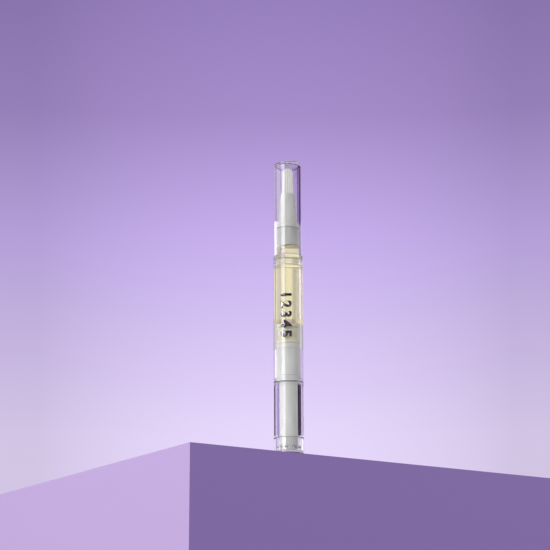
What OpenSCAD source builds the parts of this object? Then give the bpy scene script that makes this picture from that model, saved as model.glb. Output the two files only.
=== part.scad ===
// Twist pen for nail oil. Turning the clear knob at the foot screws a piston up
// the clear barrel, which presses the oil through a neck into a nylon brush. A
// clear cap pushes on over the brush. The pen stands on its knob, with its axis
// on Z and its foot on Z = 0. Lengths are millimetres.

/* [Pen] */
// Outside diameter of the barrel and the knob
pen_d = 13; // [12:0.25:16]
// Gap between the knob and the barrel
joint_gap = 0.3; // [0.2:0.05:0.6]
// Radial gap of pieces that are pushed together for good
push_fit = 0.03; // [0.02:0.01:0.05]
// Radial gap of pieces that turn or slide on each other
run_fit = 0.08; // [0.05:0.01:0.1]
// Bevel of the outer edges
edge_bevel = 0.25; // [0.1:0.05:0.4]

/* [Knob] */
// Room left in the knob below the rod, which with the stroke sets the knob's height
rod_room = 9.93; // [3:0.01:12]
// Wall of the clear knob shell
shell_wall = 2.45; // [2:0.05:2.6]
// Height of the narrow land at the shell's top
land_h = 1; // [0.6:0.1:1.6]
// Radial gap between the core and the shell
core_gap = 0.2; // [0.15:0.05:0.3]
// Wall of the white core
core_wall = 1; // [0.7:0.05:1.1]
// Height of the clear tail cap
tail_h = 7; // [5:0.2:8]
// Floor of the tail cap
tail_floor = 1.4; // [1:0.1:1.8]
// Wall of the tail cap
tail_wall = 1.25; // [1:0.05:1.5]
// Radius of the tail cap's rounded foot
foot_round = 0.5; // [0.3:0.1:0.8]
// Height of the teeth on the tail cap's floor
crown_h = 2; // [1.4:0.1:2.2]
// Number of teeth on the tail cap's floor
crown_teeth = 16; // [10:1:20]
// Depth of the notches at the shell's foot that take those teeth
notch_h = 0.6; // [0.3:0.1:1]

/* [Barrel] */
// Length of the barrel
barrel_h = 56.9; // [52:0.1:60]
// Wall of the barrel
barrel_wall = 1.15; // [0.9:0.05:1.3]
// Height of the retaining ring
ring_h = 2.3; // [1.8:0.1:3]
// Depth of the retaining ring in the barrel
ring_recess = 0.3; // [0.2:0.1:0.6]
// Height of the snap bead on the retaining ring
bead_h = 0.6; // [0.4:0.1:0.8]
// Depth of the snap grooves in the barrel
groove_depth = 0.15; // [0.1:0.01:0.2]

/* [Cap] */
// How far the barrel stands out from the cap
cap_step = 0.5; // [0:0.05:0.8]
// Height of the cap
cap_h = 43.15; // [40:0.05:50]
// Wall of the cap
cap_wall = 0.86; // [0.7:0.02:1]
// Thickness of the cap's end
cap_end = 1; // [0.8:0.1:2]
// Radius of the cap's outer top edge
cap_round = 0.5; // [0.3:0.1:0.8]
// Gap between the cap's rim and the barrel
rim_gap = 0.05; // [0.02:0.01:0.1]
// Radius of the gate mark in the middle of the cap's end
gate_r = 0.9; // [0.5:0.1:1.5]
// Depth of the gate mark
gate_depth = 0.25; // [0.1:0.05:0.4]

/* [Neck and brush] */
// Height of the neck above the barrel
neck_h = 12.8; // [10:0.2:15]
// Wall of the neck
neck_wall = 1.25; // [1:0.05:1.5]
// Length of the neck plug inside the barrel
plug_depth = 4.6; // [4:0.2:6]
// Number of snap ribs on the neck plug
plug_ribs = 3; // [1:1:3]
// Height of one snap rib
rib_h = 0.4; // [0.2:0.05:0.6]
// Clearance between the cap's bore and the neck
cap_fit = 0.09; // [0.06:0.01:0.1]
// Height of the bands on the neck that grip the cap
grip_h = 0.8; // [0.5:0.1:1.2]
// Length of the holder above the neck
holder_h = 16.2; // [14:0.2:19]
// How far the flange stands out from the holder above it
flange_step = 1; // [0.7:0.05:1.3]
// How much the holder's radius falls from there to its tip
taper = 0.91; // [0.7:0.01:1]
// Height of the flange's straight side
flange_h = 0.85; // [0.6:0.05:1.5]
// Height of the slope above the flange
slope_h = 2.4; // [1.5:0.1:3]
// Length of the holder's spigot in the neck
spigot_h = 8.2; // [6:0.2:9]
// Wall of the holder at its tip, round the tuft
tip_wall = 0.74; // [0.7:0.02:0.9]
// How far the root disc and the feed tube stand out from the tuft
root_step = 0.3; // [0.2:0.05:0.4]
// Wall of the feed tube
feed_wall = 1.52; // [1:0.02:1.8]
// Depth of the feed tube's mouth in the spigot
feed_recess = 0.8; // [0.4:0.1:2]
// Thickness of the tuft's root disc
root_h = 1; // [0.6:0.1:1.4]
// Height of the lip at the holder's tip that keeps the root disc in
lip_h = 2; // [1:0.1:3]
// Gap between the tuft and the cap's end
tuft_gap = 1; // [0.6:0.1:2]
// Rings of strands in the tuft, each ring with six more cells a side
tuft_rings = 8; // [8:1:9]
// Height of the dome at the tuft's tip
tuft_dome = 0.7; // [0.3:0.1:1.2]

/* [Drive] */
// Radial room of the pawl arms, between the nut's hub and the pawls' tips
arm_room = 0.78; // [0.6:0.02:0.9]
// Depth of the screw thread
thread_depth = 0.4; // [0.25:0.05:0.5]
// Rise of the thread in one turn
lead = 2; // [1.5:0.25:3]
// Clearance in the thread
thread_fit = 0.12; // [0.1:0.01:0.15]
// Depth of each flat on the rod
flat_depth = 0.55; // [0.4:0.05:0.7]
// Height of the thread in the nut
thread_h = 6; // [4:0.5:7]
// Wall of the nut's hub
hub_wall = 0.6; // [0.5:0.05:0.7]
// Height of the nut's flange
nut_flange_h = 1.6; // [1:0.1:2]
// Length of the nut's stem in the core
stem_h = 4.8; // [3:0.2:7]
// Height of the guide bush's sleeve
sleeve_h = 11.6; // [10.5:0.2:13]
// Height of the guide bush's head
head_h = 2.6; // [2:0.1:3.5]
// Thickness of the keyed floor below the head
key_floor_h = 0.9; // [0.5:0.1:1.2]
// Wall of the guide bush around the nut's flange
sleeve_wall = 0.85; // [0.7:0.05:0.95]
// Wall of the guide bush around the ratchet ring
seat_wall = 1.1; // [1:0.05:1.3]
// Height of the ratchet ring
ratchet_h = 3; // [2:0.2:4]
// Wall of the ratchet ring behind its teeth
ratchet_wall = 0.25; // [0.2:0.05:0.3]
// Height of the ratchet teeth
tooth_h = 0.35; // [0.25:0.05:0.4]
// Number of ratchet teeth
teeth = 18; // [16:1:24]
// Gap between the pawls and the ratchet teeth
pawl_gap = 0.06; // [0.05:0.01:0.1]

/* [Piston] */
// Height of the piston
piston_h = 8.5; // [7:0.5:10]
// Height of each sealing lip
lip_band_h = 1.2; // [0.8:0.1:1.6]
// Depth of the waist between the lips
waist_depth = 0.6; // [0.4:0.1:0.8]
// Gap between the piston and the bore
piston_fit = 0.05; // [0.03:0.01:0.08]
// Depth of the rod's socket in the piston
socket_h = 5.2; // [4:0.2:6]
// Height of the snap bead on the rod
rod_bead_h = 0.6; // [0.4:0.1:0.8]
// How far the rod's snap bead stands out
rod_bead_out = 0.3; // [0.2:0.05:0.4]
// Room left above the piston at the end of its stroke
end_room = 0.84; // [0.5:0.02:2]

/* [Hidden] */
$fn = 72;

// Overrun of every cut past the face that it opens
over = 1;
// Gap between faces that lie on each other
seat = 0.05;

// Radii of the clear pieces and the core, from the outside in
pen_r = pen_d / 2;
bore_r = pen_r - barrel_wall;
groove_r = bore_r + groove_depth;
knob_bore_r = pen_r - shell_wall;
core_r = knob_bore_r - core_gap;
core_bore_r = core_r - core_wall;
tail_bore_r = pen_r - tail_wall;

// Radii of the cap, the neck and the brush, from the outside in
cap_r = pen_r - cap_step;
cap_bore_r = cap_r - cap_wall;
neck_r = cap_bore_r - cap_fit;
neck_bore_r = neck_r - neck_wall;
holder_r = neck_r - flange_step;
holder_tip_r = holder_r - taper;
tuft_r = holder_tip_r - tip_wall - seat;
holder_bore_r = tuft_r + root_step;
feed_r = holder_bore_r - push_fit;

// Radii of the drive, from the outside in
sleeve_r = bore_r - push_fit;
pocket_r = sleeve_r - sleeve_wall;
ratchet_r = sleeve_r - seat_wall - push_fit;
root_r = ratchet_r - ratchet_wall;
tip_r = root_r - tooth_h;
pawl_r = tip_r - pawl_gap;
collar_bore_r = pawl_r - arm_room;
hub_r = collar_bore_r - push_fit;
hub_flat_share = 0.92;
hub_flat = hub_r * hub_flat_share;
rod_r = hub_r - hub_wall - thread_fit;
nut_bore_r = rod_r + run_fit;
rod_flats = 2 * (rod_r - flat_depth);

// Heights above the barrel's foot
bush_rise = ring_recess + ring_h + run_fit;
hub_rise = bush_rise + sleeve_h - key_floor_h - joint_gap;
piston_rise = bush_rise + sleeve_h + head_h + run_fit;
stroke = barrel_h - plug_depth - end_room - piston_h - piston_rise;

// Heights of the knob, which holds the rod and is as long as the stroke asks
core_z = tail_floor + seat;
rod_z = core_z + core_wall + rod_room;
hub_top = rod_z + stroke + thread_h;
barrel_z = hub_top - hub_rise;
knob_h = barrel_z - joint_gap;

// Heights of the drive
shoulder_z = barrel_z + barrel_h;
ring_z = barrel_z + ring_recess;
ring_top = ring_z + ring_h;
sleeve_z = barrel_z + bush_rise;
nut_flange_top = sleeve_z + nut_flange_h;
pocket_top = nut_flange_top + run_fit;
head_z = sleeve_z + sleeve_h;
head_top = head_z + head_h;
key_floor_z = head_z - key_floor_h;
ratchet_z = (pocket_top + key_floor_z - ratchet_h) / 2;

// Heights of the piston, the oil and the brush
piston_z = barrel_z + piston_rise;
piston_top = piston_z + piston_h;
plug_z = shoulder_z - plug_depth;
neck_top = shoulder_z + neck_h;
holder_z = neck_top + seat;
holder_top = holder_z + holder_h;
spigot_z = holder_z - spigot_h;
feed_z = spigot_z + feed_recess;
root_top = holder_top - lip_h;
root_z = root_top - root_h;
cap_z = shoulder_z + rim_gap;
cap_top = cap_z + cap_h;
ceiling_z = cap_top - cap_end;
tuft_top = ceiling_z - tuft_gap;

echo(height = cap_top, knob = knob_h, rod = 2 * rod_r, stroke = stroke, turns = stroke / lead);

// Solid of revolution, from points given as radius and height
module turned(points) {
  rotate_extrude() polygon(points);
}

// Points of a round edge about its centre, between two angles
arc_step = 15;
function round_edge(r, z, radius, from, to) = [
  for (a = [from:arc_step:to]) [r + radius * cos(a), z + radius * sin(a)]
];

// Tube between two heights, open at both ends
module tube(outer, inner, low, high) {
  translate([0, 0, low]) difference() {
    cylinder(r = outer, h = high - low);
    translate([0, 0, -over]) cylinder(r = inner, h = high - low + 2 * over);
  }
}

// Bar with two flats, cut from what is given to it
module between_flats(width, reach, low, high) {
  intersection() {
    children();
    translate([-reach, -width / 2, low]) cube([2 * reach, width, high - low]);
  }
}

// Left-handed round thread, an off-centre circle turned as it rises from height zero
thread_sides = 12;
module thread(grow, low, high) {
  rotate([0, 0, -360 * low / lead])
    translate([0, 0, low])
      linear_extrude(height = high - low, twist = 360 * (high - low) / lead,
                     slices = ceil(thread_sides * (high - low) / lead), $fn = thread_sides)
        translate([thread_depth / 2, 0]) circle(r = rod_r - thread_depth / 2 + grow);
}

// Clear push-on cap with a solid end
module cap() {
  color([0.86, 0.84, 0.95, 0.35]) difference() {
    turned(concat(
      [[0, cap_z], [cap_r - edge_bevel, cap_z], [cap_r, cap_z + edge_bevel]],
      round_edge(cap_r - cap_round, cap_top - cap_round, cap_round, 0, 90),
      [[0, cap_top]]
    ));
    translate([0, 0, cap_z - over]) cylinder(r = cap_bore_r, h = ceiling_z - cap_z + over);
    translate([0, 0, cap_z - over]) cylinder(r1 = cap_bore_r + edge_bevel + over, r2 = cap_bore_r,
                                             h = edge_bevel + over);
    translate([0, 0, cap_top - gate_depth]) cylinder(r = gate_r, h = gate_depth + over);
  }
}

// Tuft: rings of triangular cells on a disc, with one three-sided strand in each
strand_share = 0.8;
draw_in_share = 0.07;
uneven_share = 0.3;

function ring_start(i) = i == 0 ? 0 : 1 + 3 * i * (i - 1);
function cell_point(i, j) = i == 0 ? 0 : ring_start(i) + j % (6 * i);
cells = [
  for (s = [0:5], i = [0:tuft_rings - 1], j = [0:i])
    each concat(
      [[
        cell_point(i, s * i + j),
        cell_point(i + 1, s * (i + 1) + j), cell_point(i + 1, s * (i + 1) + j + 1)
      ]],
      j == i ? [] : [[
        cell_point(i, s * i + j),
        cell_point(i + 1, s * (i + 1) + j + 1), cell_point(i, s * i + j + 1)
      ]]
    )
];
lattice = concat([[0, 0]], [
  for (i = [1:tuft_rings], j = [0:6 * i - 1])
    [cos(60 * j / i), sin(60 * j / i)] * tuft_r * i / tuft_rings
]);
rim_count = 6 * tuft_rings;
rim_start = ring_start(tuft_rings);
function rim_points(z) = [
  for (j = [0:rim_count - 1])
    let (a = 360 * j / rim_count)
    [feed_r * cos(a), feed_r * sin(a), z]
];
disc_points = concat(
  [for (p = lattice) [p.x, p.y, root_top]],
  rim_points(root_top),
  rim_points(root_z),
  [[0, 0, root_z]]
);
disc_edge = len(lattice);
disc_foot = disc_edge + rim_count;
disc_middle = disc_foot + rim_count;

function middle(c) = (lattice[c[0]] + lattice[c[1]] + lattice[c[2]]) / 3;
function strand_top(c, k) =
  tuft_top - tuft_dome * (pow(norm(middle(c)) / tuft_r, 2) + uneven_share * (sin(137 * k) + 1) / 2);
function drawn_in(z) = 1 - draw_in_share * (z - root_top) / (tuft_top - root_top);
strand_points = [
  for (k = [0:len(cells) - 1], level = [0, 1], corner = [0:2])
    let (c = cells[k])
    let (p = middle(c) + strand_share * (lattice[c[corner]] - middle(c)))
    let (z = level == 0 ? root_top : strand_top(c, k))
    [p.x * drawn_in(z), p.y * drawn_in(z), z]
];
corners = 3;
strand_start = len(disc_points);
function strip(a, b, c, d) = [[a, b, c], [a, c, d]];
strand_faces = [
  for (k = [0:len(cells) - 1])
    let (c = cells[k], low = strand_start + 2 * corners * k, high = low + corners)
    each concat(
      [[high, high + 1, high + 2]],
      [
        for (e = [0:corners - 1])
          let (n = (e + 1) % corners)
          each concat(strip(c[e], c[n], low + n, low + e), strip(low + e, low + n, high + n, high + e))
      ]
    )
];
disc_faces = [
  for (j = [0:rim_count - 1])
    let (n = (j + 1) % rim_count)
    each concat(
      strip(rim_start + j, disc_edge + j, disc_edge + n, rim_start + n),
      strip(disc_edge + j, disc_foot + j, disc_foot + n, disc_edge + n),
      [[disc_middle, disc_foot + n, disc_foot + j]]
    )
];

// Nylon tuft, its strands fused to their root disc
module brush_bristles() {
  color([0.95, 0.95, 0.9])
    polyhedron(
      points = concat(disc_points, strand_points),
      faces = [for (f = concat(strand_faces, disc_faces)) [f[2], f[1], f[0]]]
    );
}

// White holder: spigot, flange, slope and a long taper to the tuft
module brush_holder() {
  color([0.95, 0.96, 0.95]) difference() {
    turned([
      [0, spigot_z], [neck_bore_r - push_fit - edge_bevel, spigot_z],
      [neck_bore_r - push_fit, spigot_z + edge_bevel], [neck_bore_r - push_fit, holder_z],
      [neck_r, holder_z], [neck_r, holder_z + flange_h],
      [holder_r, holder_z + flange_h + slope_h],
      [holder_tip_r, holder_top - edge_bevel], [holder_tip_r - edge_bevel, holder_top], [0, holder_top]
    ]);
    translate([0, 0, spigot_z - over]) cylinder(r = holder_bore_r, h = root_top - spigot_z + over);
    translate([0, 0, root_z]) cylinder(r = tuft_r + seat, h = lip_h + root_h + over);
  }
}

// Tube in the holder that brings the oil to the tuft and backs its root disc
module feed_tube() {
  color([0.92, 0.94, 0.96, 0.7]) tube(feed_r, feed_r - feed_wall, feed_z, root_z - seat);
}

// Heights of the plug's snap ribs, shared by the barrel's grooves
rib_step = (plug_depth - edge_bevel) / (plug_ribs + 1);
function rib_z(i) = plug_z + edge_bevel + rib_step * (i + 1) - rib_h / 2;

// Clear neck plug: a ribbed spigot in the barrel and the neck that carries the cap
module neck_plug() {
  color([0.88, 0.88, 0.95, 0.4]) difference() {
    union() {
      translate([0, 0, plug_z]) cylinder(r = bore_r - push_fit, h = plug_depth);
      for (i = [0:plug_ribs - 1])
        translate([0, 0, rib_z(i)]) cylinder(r = groove_r - push_fit, h = rib_h);
      translate([0, 0, shoulder_z - edge_bevel]) cylinder(r = neck_r, h = neck_h + edge_bevel);
      for (share = [1, 3])
        translate([0, 0, shoulder_z + neck_h * share / 4 - grip_h / 2])
          cylinder(r = neck_r + cap_fit / 2, h = grip_h);
    }
    translate([0, 0, plug_z - over]) cylinder(r = neck_bore_r, h = plug_depth + neck_h + 2 * over);
  }
}

// Clear barrel, a straight tube with snap grooves at both ends
module barrel() {
  color([0.88, 0.88, 0.95, 0.4]) difference() {
    turned([
      [0, barrel_z], [pen_r - edge_bevel, barrel_z], [pen_r, barrel_z + edge_bevel],
      [pen_r, shoulder_z - edge_bevel], [pen_r - edge_bevel, shoulder_z], [0, shoulder_z]
    ]);
    translate([0, 0, barrel_z - over]) cylinder(r = bore_r, h = barrel_h + 2 * over);
    for (i = [0:plug_ribs - 1])
      translate([0, 0, rib_z(i) - push_fit]) cylinder(r = groove_r, h = rib_h + 2 * push_fit);
    translate([0, 0, ring_z + (ring_h - bead_h) / 2 - push_fit])
      cylinder(r = groove_r, h = bead_h + 2 * push_fit);
  }
}

// Oil between the piston and the neck plug
module oil_column() {
  color([0.95, 0.9, 0.62, 0.7])
    translate([0, 0, piston_top + seat]) cylinder(r = bore_r - push_fit, h = plug_z - piston_top - 2 * seat);
}

// Oil in the neck, below the holder's spigot
module oil_neck() {
  color([0.95, 0.9, 0.62, 0.7])
    translate([0, 0, plug_z - seat]) cylinder(r = neck_bore_r - push_fit, h = spigot_z - plug_z);
}

// Translucent piston with a sealing lip at each end and a socket for the rod
module piston() {
  lip_r = bore_r - piston_fit;
  waist_r = lip_r - waist_depth;
  color([0.93, 0.94, 0.94]) difference() {
    turned([
      [0, piston_z], [lip_r - edge_bevel, piston_z], [lip_r, piston_z + edge_bevel],
      [lip_r, piston_z + lip_band_h], [waist_r, piston_z + lip_band_h + waist_depth],
      [waist_r, piston_top - lip_band_h - waist_depth], [lip_r, piston_top - lip_band_h],
      [lip_r, piston_top], [0, piston_top]
    ]);
    translate([0, 0, piston_z - over]) cylinder(r = rod_r + run_fit, h = socket_h + over);
    translate([0, 0, piston_z + socket_h / 2 - seat])
      cylinder(r = rod_r + rod_bead_out + run_fit, h = rod_bead_h + 2 * seat);
  }
}

// Screw rod: a threaded bar with two flats and a snap bead in the piston
module screw_rod() {
  color([0.96, 0.96, 0.96]) {
    between_flats(rod_flats, 2 * rod_r, rod_z, piston_z + seat) thread(0, rod_z, piston_z + over);
    translate([0, 0, piston_z]) cylinder(r = rod_r, h = socket_h - seat);
    translate([0, 0, piston_z + socket_h / 2]) cylinder(r = rod_r + rod_bead_out, h = rod_bead_h);
  }
}

// White bush fixed in the barrel: its keyed head keeps the rod from turning
module guide_bush() {
  color([0.93, 0.94, 0.93]) difference() {
    translate([0, 0, sleeve_z]) cylinder(r = sleeve_r, h = head_top - sleeve_z);
    translate([0, 0, sleeve_z - over]) cylinder(r = pocket_r, h = pocket_top - sleeve_z + over);
    translate([0, 0, sleeve_z - over]) cylinder(r = sleeve_r - seat_wall, h = key_floor_z - sleeve_z + over);
    between_flats(rod_flats + 2 * run_fit, 2 * rod_r, sleeve_z, head_top + over)
      translate([0, 0, sleeve_z]) cylinder(r = rod_r + run_fit, h = head_top - sleeve_z + over);
    translate([0, 0, head_z]) difference() {
      cylinder(r = sleeve_r + over, h = edge_bevel);
      translate([0, 0, -over]) cylinder(r = sleeve_r - edge_bevel, h = edge_bevel + 2 * over);
    }
  }
}

// Fixed ring of saw teeth that the pawls click over
module ratchet_ring() {
  step = 360 / teeth;
  color([0.9, 0.9, 0.9]) translate([0, 0, ratchet_z]) linear_extrude(height = ratchet_h) difference() {
    circle(r = ratchet_r);
    polygon([
      for (i = [0:teeth - 1])
        each [root_r * [cos(step * i), sin(step * i)], tip_r * [cos(step * i), sin(step * i)]]
    ]);
  }
}

// Ring on the nut's hub with two spring arms, each ending in a pawl
collar_share = 0.35;
arm_share = 0.3;
arm_turn = 100;
pawl_turn = 20;
module sector(from, to, reach) {
  step = (to - from) / 3;
  polygon(concat([[0, 0]], [for (a = [from:step:to]) reach * [cos(a), sin(a)]]));
}
module click_ring() {
  collar_r = collar_bore_r + arm_room * collar_share;
  arm_r = pawl_r - arm_room * arm_share;
  color([0.85, 0.88, 0.9]) translate([0, 0, ratchet_z + seat]) linear_extrude(height = ratchet_h - 2 * seat)
    difference() {
      union() {
        circle(r = collar_r);
        for (side = [0, 180]) rotate(side) {
          intersection() {
            circle(r = pawl_r);
            sector(0, pawl_turn, 2 * pawl_r);
          }
          intersection() {
            difference() {
              circle(r = pawl_r);
              circle(r = arm_r);
            }
            sector(pawl_turn / 2, arm_turn, 2 * pawl_r);
          }
        }
      }
      intersection() {
        circle(r = collar_bore_r);
        square([2 * collar_bore_r, 2 * (hub_flat + push_fit)], center = true);
      }
    }
}

// Nut that turns with the knob: a stem in the core, a flange and a flatted hub
module drive_nut() {
  color([0.9, 0.9, 0.88]) difference() {
    union() {
      translate([0, 0, ring_top - stem_h]) cylinder(r = core_bore_r - push_fit, h = stem_h + run_fit);
      translate([0, 0, sleeve_z]) cylinder(r = pocket_r - run_fit, h = nut_flange_h);
      between_flats(2 * hub_flat, hub_r, nut_flange_top - seat, hub_top)
        translate([0, 0, sleeve_z]) cylinder(r = hub_r, h = hub_top - sleeve_z);
    }
    translate([0, 0, ring_top - stem_h - over])
      cylinder(r = nut_bore_r, h = hub_top - thread_h - ring_top + stem_h + over);
    thread(thread_fit, hub_top - thread_h - seat, hub_top + over);
  }
}

// Clear ring snapped into the barrel, which keeps the knob on and is its bearing
module retaining_ring() {
  color([0.88, 0.88, 0.95, 0.4]) difference() {
    union() {
      translate([0, 0, ring_z]) cylinder(r = bore_r - push_fit, h = ring_h);
      translate([0, 0, ring_z + (ring_h - bead_h) / 2]) cylinder(r = groove_r - push_fit, h = bead_h);
    }
    translate([0, 0, ring_z - over]) cylinder(r = core_r + run_fit, h = ring_h + 2 * over);
  }
}

// White core of the knob, closed at the foot, with the nut's stem in its top
module knob_core() {
  color([0.95, 0.95, 0.93]) difference() {
    translate([0, 0, core_z]) cylinder(r = core_r, h = ring_top - core_z);
    translate([0, 0, core_z + core_wall]) cylinder(r = core_bore_r, h = ring_top);
  }
}

// Teeth of the tail cap, grown for the notches that they fit in the shell
crown_share = 0.5;
module crown(grow, low, high) {
  crown_in = knob_bore_r;
  crown_out = tail_bore_r - push_fit - edge_bevel;
  half = 180 / crown_teeth * crown_share + grow / crown_in * 180 / PI;
  translate([0, 0, low]) linear_extrude(height = high - low) for (i = [0:crown_teeth - 1])
    rotate(360 * i / crown_teeth) intersection() {
      difference() {
        circle(r = crown_out + grow);
        circle(r = crown_in - grow);
      }
      polygon([[0, 0], 2 * pen_r * [cos(half), -sin(half)], 2 * pen_r * [cos(half), sin(half)]]);
    }
}

// Thick clear shell of the knob, with a notched spigot in the tail cap
module knob_shell() {
  spigot_foot = tail_floor + crown_h - notch_h;
  color([0.88, 0.88, 0.95, 0.4]) difference() {
    turned([
      [0, spigot_foot], [tail_bore_r - push_fit, spigot_foot], [tail_bore_r - push_fit, tail_h],
      [pen_r - edge_bevel, tail_h], [pen_r, tail_h + edge_bevel],
      [pen_r, knob_h - edge_bevel], [pen_r - edge_bevel, knob_h], [0, knob_h]
    ]);
    translate([0, 0, spigot_foot - over]) cylinder(r = knob_bore_r, h = knob_h - land_h - spigot_foot + over);
    translate([0, 0, spigot_foot]) cylinder(r = core_r + push_fit, h = knob_h - spigot_foot + over);
    crown(seat, spigot_foot - over, tail_floor + crown_h + seat);
  }
}

// Clear tail cap with a crown of teeth on its floor
module tail_cap() {
  rim = tail_h - seat;
  color([0.88, 0.88, 0.95, 0.4]) {
    difference() {
      turned(concat(
        [[0, 0]],
        round_edge(pen_r - foot_round, foot_round, foot_round, -90, 0),
        [[pen_r, rim - edge_bevel], [pen_r - edge_bevel, rim], [0, rim]]
      ));
      translate([0, 0, tail_floor]) cylinder(r = tail_bore_r, h = tail_h);
    }
    crown(0, tail_floor - seat, tail_floor + crown_h);
  }
}

cap();
brush_bristles();
brush_holder();
feed_tube();
neck_plug();
barrel();
oil_column();
oil_neck();
piston();
screw_rod();
guide_bush();
ratchet_ring();
click_ring();
drive_nut();
retaining_ring();
knob_core();
knob_shell();
tail_cap();
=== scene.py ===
import math
import bmesh
import bpy
import numpy as np
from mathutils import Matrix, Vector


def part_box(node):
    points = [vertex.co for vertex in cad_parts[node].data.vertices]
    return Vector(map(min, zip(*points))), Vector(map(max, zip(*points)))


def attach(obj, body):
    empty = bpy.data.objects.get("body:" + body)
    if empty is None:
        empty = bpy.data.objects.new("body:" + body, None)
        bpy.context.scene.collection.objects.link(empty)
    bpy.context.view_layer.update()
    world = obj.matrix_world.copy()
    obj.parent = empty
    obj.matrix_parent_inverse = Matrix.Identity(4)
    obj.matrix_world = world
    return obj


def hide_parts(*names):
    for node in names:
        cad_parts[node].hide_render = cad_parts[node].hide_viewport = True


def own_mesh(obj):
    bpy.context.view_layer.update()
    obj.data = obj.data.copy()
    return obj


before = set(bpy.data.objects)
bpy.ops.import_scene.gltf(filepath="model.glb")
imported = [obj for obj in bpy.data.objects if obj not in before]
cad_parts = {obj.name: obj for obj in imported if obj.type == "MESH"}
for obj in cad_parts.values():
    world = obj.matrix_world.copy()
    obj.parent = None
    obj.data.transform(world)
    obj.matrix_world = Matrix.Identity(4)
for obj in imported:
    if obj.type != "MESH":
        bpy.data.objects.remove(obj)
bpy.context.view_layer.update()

scene = bpy.context.scene
scene.view_settings.view_transform = "Standard"

# Camera: a long lens that stands low in front of the pen and looks 15 degrees up along it. Its place, and
# the slight roll and turn that it needs, were fitted to the pen's outline in the photograph.
PHOTO_SIDE = 550
FOCAL_PIXELS = 1600
SENSOR_WIDTH = 36
CAMERA_PLACE = (-0.0058, -0.683, -0.1056)
PITCH_UP = 15.2
ROLL = 0.17
TURN = 0.044
camera_data = bpy.data.cameras.new("camera")
camera_data.sensor_width = SENSOR_WIDTH
camera_data.lens = SENSOR_WIDTH * FOCAL_PIXELS / PHOTO_SIDE
camera_data.clip_start = 0.01
camera = bpy.data.objects.new("camera", camera_data)
camera.location = CAMERA_PLACE
camera.rotation_euler = (math.radians(90 + PITCH_UP), math.radians(ROLL), math.radians(TURN))
scene.collection.objects.link(camera)
scene.camera = camera

# Studio: a big lilac block that carries the pen near its front corner. Its top is the floor. Its sides are
# painted shade: those on the right a dark purple and those on the left a deeper lilac than the top.
BLOCK_SIDE = 1.1
BLOCK_DEPTH = 0.7
BLOCK_CORNER = np.array([-0.0407, -0.0345])
TO_RIGHT = np.array([0.834, 0.552])
TO_LEFT = np.array([-0.542, 0.840])
BLOCK_FACES = [(3, 2, 1, 0), (4, 5, 6, 7), (0, 1, 5, 4), (1, 2, 6, 5), (2, 3, 7, 6), (3, 0, 4, 7)]
FACE_PAINTS_AND_SHADES = [0, 0, 1, 1, 2, 2]
# the top has the floor's own colour; the sides' colours are painted shade for the light that falls on each
BLOCK_PAINTS_AND_SHADES = {
    "block_top": (0.86, 0.80, 0.93),
    "block_right_painted_shade": (0.35, 0.232, 0.605),
    "block_left_painted_shade": (0.745, 0.55, 0.99),
}


def new_finish(name):
    """New material, with its node tree and its surface shader."""
    finish = bpy.data.materials.new(name)
    finish.use_nodes = True
    tree = finish.node_tree
    return finish, tree, tree.nodes["Principled BSDF"]


right_end = BLOCK_CORNER + BLOCK_SIDE * TO_RIGHT
left_end = BLOCK_CORNER + BLOCK_SIDE * TO_LEFT
plan = [BLOCK_CORNER, right_end, right_end + BLOCK_SIDE * TO_LEFT, left_end]
block_mesh = bpy.data.meshes.new("block")
block_mesh.from_pydata([(*p, -BLOCK_DEPTH) for p in plan] + [(*p, 0) for p in plan], [], BLOCK_FACES)
for name, shade in BLOCK_PAINTS_AND_SHADES.items():
    paint, tree, coat = new_finish(name)
    coat.inputs["Base Color"].default_value = (*shade, 1)
    coat.inputs["Roughness"].default_value = 0.6
    block_mesh.materials.append(paint)
block_mesh.polygons.foreach_set("material_index", FACE_PAINTS_AND_SHADES)
block = bpy.data.objects.new("block", block_mesh)
scene.collection.objects.link(block)


# Backdrop: a lilac fade, darker overhead and to the sides, that glass and gloss show too. Gloss shows a
# dark studio behind the camera. Everything else is lit by plain white.
FADE_HEIGHTS = (-0.1, 0.5)
SIDE_REACH = 0.0215
SIDE_DIM = 0.8
STUDIO_DIM = 0.25
PLAIN_LIGHT = 0.42


def given(tree, socket, value):
    """Sets a socket to a plain number, or links another socket to it."""
    if isinstance(value, (int, float)):
        socket.default_value = value
    else:
        tree.links.new(value, socket)


def worked(tree, operation, first, second):
    """Result of a math node on two sockets or plain numbers."""
    node = tree.nodes.new("ShaderNodeMath")
    node.operation = operation
    given(tree, node.inputs[0], first)
    given(tree, node.inputs[1], second)
    return node.outputs[0]


def between(tree, value, low, high, from_low=0.3, from_high=0.7):
    """Value taken from one range to another and kept inside it. The limits may be sockets."""
    node = tree.nodes.new("ShaderNodeMapRange")
    given(tree, node.inputs["Value"], value)
    given(tree, node.inputs["From Min"], from_low)
    given(tree, node.inputs["From Max"], from_high)
    given(tree, node.inputs["To Min"], low)
    given(tree, node.inputs["To Max"], high)
    return node.outputs["Result"]


def fade(tree, source, stops, curve="EASE"):
    """Colour that follows a value through the given (place, colour) stops."""
    ramp = tree.nodes.new("ShaderNodeValToRGB")
    ramp.color_ramp.interpolation = curve
    while len(ramp.color_ramp.elements) < len(stops):
        ramp.color_ramp.elements.new(0.5)
    for element, (place, shade) in zip(ramp.color_ramp.elements, stops):
        element.position = place
        element.color = (*shade, 1)
    tree.links.new(source, ramp.inputs["Fac"])
    return ramp.outputs["Color"]


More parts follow.
